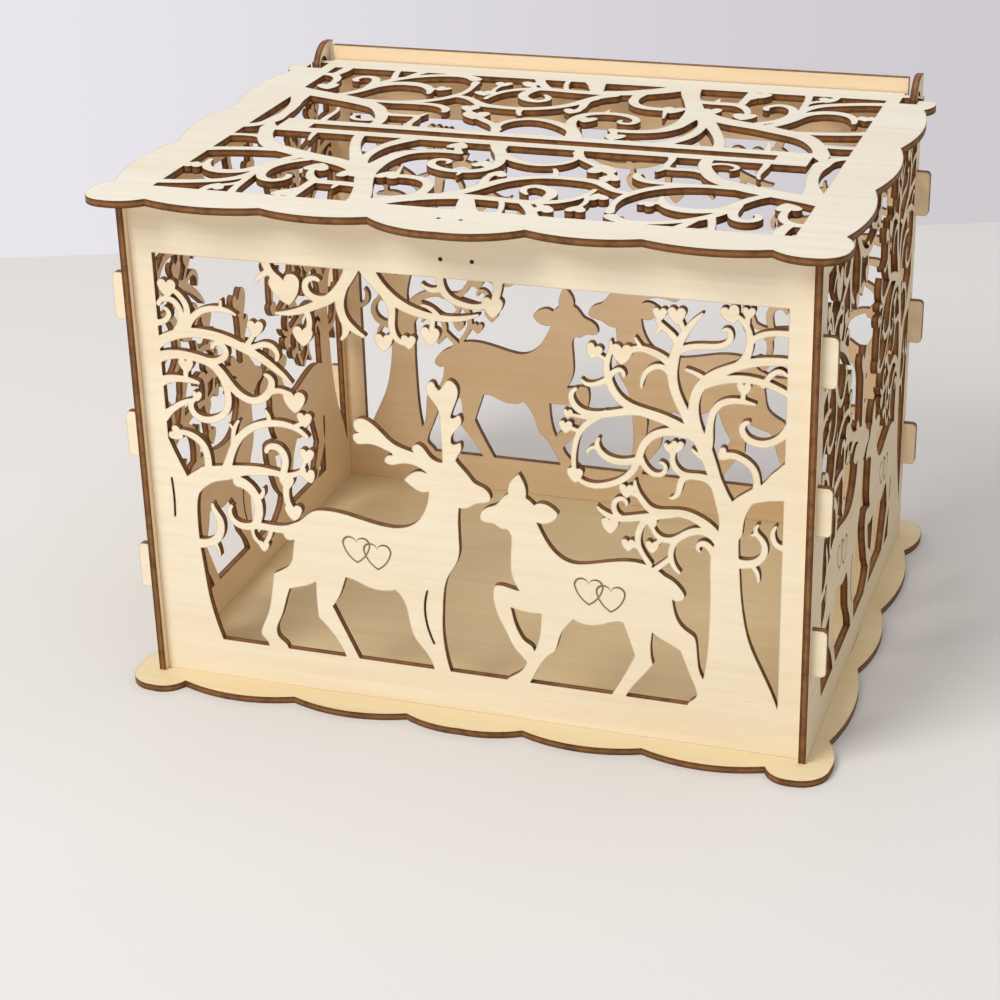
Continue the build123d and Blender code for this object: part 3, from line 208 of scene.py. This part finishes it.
def plywood(name, axis, outward, outer_at, outer, shaded_inner, grain):
    """Birch ply lying across an axis, its outer face at outer_at and facing outward (+1 or -1)."""
    s = Shader(name)
    here = s.node("ShaderNodeTexCoord")
    where = here.outputs["Object"]
    facing = s.math("MULTIPLY", s.split(here.outputs["Normal"])[axis], float(outward))
    on_edge = s.math("LESS_THAN", s.math("ABSOLUTE", facing), 0.5)
    depth = s.math("MULTIPLY", s.math("SUBTRACT", outer_at, s.split(where)[axis]), float(outward))

    streaks = s.noise(where, along(grain, STREAKS), 1.0, 4.0, 0.6)
    veneer = bare_veneer(s, where, streaks, facing, outer, shaded_inner, grain)
    veneer = s.mix(s.math("MULTIPLY", scorch_halo(s), HALO_STRENGTH), veneer, SCORCH_MID)
    sunk = s.math("MULTIPLY", s.spread(depth, SUNK_FROM, SUNK_TO), s.math("GREATER_THAN", facing, 0.5))
    veneer = s.mix(sunk, veneer, ENGRAVED)

    bump = s.node("ShaderNodeBump")
    s.feed(bump.inputs["Strength"], BUMP_STRENGTH)
    s.feed(bump.inputs["Distance"], BUMP_HEIGHT)
    s.feed(bump.inputs["Height"], streaks)
    shader = s.node("ShaderNodeBsdfPrincipled")
    s.feed(shader.inputs["Base Color"], s.mix(on_edge, veneer, burnt_edge(s, where, depth)))
    s.feed(shader.inputs["Roughness"], WOOD_ROUGH)
    s.feed(shader.inputs["Specular IOR Level"], WOOD_SHINE)
    s.feed(shader.inputs["Normal"], bump.outputs[0])
    return s.finish(shader)


def dress(node, axis, outward, outer, shaded_inner, grain):
    """Gives a CAD piece its plywood, without touching its mesh."""
    low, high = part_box(node)
    outer_at = high[axis] if outward > 0 else low[axis]
    material = plywood("ply_" + node, axis, outward, outer_at, outer, shaded_inner, grain)
    for holder in frame["nodes"][node].material_slots:
        holder.link = "OBJECT"
        holder.material = material


dress("base_plate", Z, 1, WARM_FACE, SHADED_INNER_FACE, X)
dress("front_panel", Y, -1, CLEAR_FACE, SHADED_INNER_FACE, X)
dress("back_panel", Y, 1, CLEAR_FACE, SHADED_INNER_FACE, X)
# side walls take the outer colour darkened as painted shade
dress("left_panel", X, -1, SHADED_SIDE_FACE, SHADED_INNER_FACE, Y)
dress("right_panel", X, 1, SHADED_SIDE_FACE, SHADED_INNER_FACE, Y)
dress("lid", Z, 1, LID_FACE, SHADED_INNER_FACE, X)


# ---- stage ------------------------------------------------------------------------------------
def plain(name, colour):
    """One flat matt colour."""
    s = Shader(name)
    shader = s.node("ShaderNodeBsdfPrincipled")
    s.feed(shader.inputs["Base Color"], colour)
    s.feed(shader.inputs["Roughness"], FLOOR_ROUGH)
    s.feed(shader.inputs["Specular IOR Level"], FLOOR_SHINE)
    return s.finish(shader)


def glowing(name, left, right):
    """A surface that gives off its own light, fading from one colour to another along X."""
    s = Shader(name)
    here = s.node("ShaderNodeTexCoord")
    fade = s.spread(s.split(here.outputs["Object"])[X], GLOW_FROM, GLOW_TO)
    glow = s.node("ShaderNodeEmission")
    s.feed(glow.inputs["Color"], s.mix(fade, left, right))
    return s.finish(glow)


def sheet(name, corners, material):
    """A flat stage piece."""
    mesh = bpy.data.meshes.new(name)
    mesh.from_pydata(corners, [], [(0, 1, 2, 3)])
    made = bpy.data.objects.new(name, mesh)
    made.data.materials.append(material)
    bpy.context.collection.objects.link(made)


def floor():
    """The pale floor, whose rear edge runs at an angle behind the box."""
    rise = STAGE_HALF * FLOOR_TURN
    corners = [
        (-STAGE_HALF, -STAGE_HALF, 0),
        (STAGE_HALF, -STAGE_HALF, 0),
        (STAGE_HALF, FLOOR_END + rise, 0),
        (-STAGE_HALF, FLOOR_END - rise, 0),
    ]
    sheet("floor", corners, plain("floor", FLOOR_COLOUR))


def backdrop():
    """The upright backdrop, twice as wide as the floor."""
    wide = 2 * STAGE_HALF
    corners = [
        (-wide, BACKDROP_AT, BACKDROP_LOW),
        (wide, BACKDROP_AT, BACKDROP_LOW),
        (wide, BACKDROP_AT, BACKDROP_HIGH),
        (-wide, BACKDROP_AT, BACKDROP_HIGH),
    ]
    sheet("backdrop", corners, glowing("backdrop", GLOW_LEFT, GLOW_RIGHT))


def area_light(name, at, size, power, colour):
    """A square soft light aimed at the box."""
    data = bpy.data.lights.new(name, "AREA")
    data.size = size
    data.energy = power
    data.color = colour
    lamp = bpy.data.objects.new(name, data)
    lamp.location = at
    lamp.rotation_euler = (Vector(LIGHTS_AIM) - Vector(at)).to_track_quat("-Z", "Y").to_euler()
    bpy.context.collection.objects.link(lamp)


def world():
    """Even light from all round."""
    made = bpy.data.worlds.new("studio")
    made.use_nodes = True
    background = made.node_tree.nodes["Background"]
    background.inputs[0].default_value = WORLD_COLOUR
    background.inputs[1].default_value = WORLD_POWER
    bpy.context.scene.world = made
    bpy.context.scene.view_settings.view_transform = "Standard"


def camera():
    """The photograph's viewpoint: yaw, then pitch, then roll about the line of sight."""
    yaw, pitch, roll = (math.radians(a) for a in (CAMERA_YAW, CAMERA_PITCH, CAMERA_ROLL))
    forward = Vector((math.sin(yaw) * math.cos(pitch), math.cos(yaw) * math.cos(pitch), -math.sin(pitch)))
    level = forward.cross(Vector((0, 0, 1))).normalized()
    below = forward.cross(level)
    right = level * math.cos(roll) + below * math.sin(roll)
    down = below * math.cos(roll) - level * math.sin(roll)
    turn = Matrix((right, -down, -forward)).transposed().to_4x4()
    data = bpy.data.cameras.new("camera")
    data.lens = CAMERA_LENS
    data.sensor_width = SENSOR
    data.clip_start = 0.01
    eye = bpy.data.objects.new("camera", data)
    eye.matrix_world = Matrix.Translation(CAMERA_AT) @ turn
    bpy.context.collection.objects.link(eye)
    bpy.context.scene.camera = eye


floor()
backdrop()
for light in LIGHTS:
    area_light(*light)
world()
camera()
